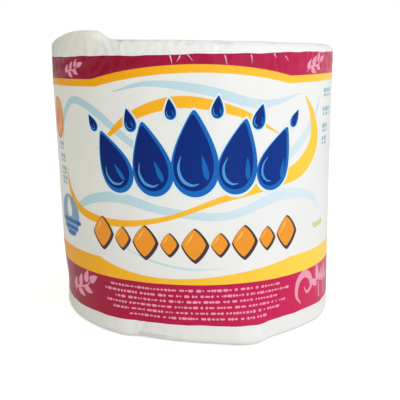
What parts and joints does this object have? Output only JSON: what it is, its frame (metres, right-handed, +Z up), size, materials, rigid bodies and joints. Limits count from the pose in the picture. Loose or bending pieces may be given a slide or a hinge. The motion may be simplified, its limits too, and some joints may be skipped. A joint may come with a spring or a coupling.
{
  "type": "paper towel roll",
  "caption": "Large kitchen towel roll sealed in printed opaque film with folded ends, standing on its end.",
  "frame": {"origin": "centre of the base, on the surface that the roll stands on", "axes": "+Z up along the roll, -Y towards the front with the main print, +X to the right seen from the front"},
  "size_m": [0.24, 0.2355, 0.2322],
  "materials": {
    "printed_film": "soft gloss, printed polyethylene film"
  },
  "bodies": {
    "root": {"wrapped_roll": "printed_film"}
  },
  "joints": []
}
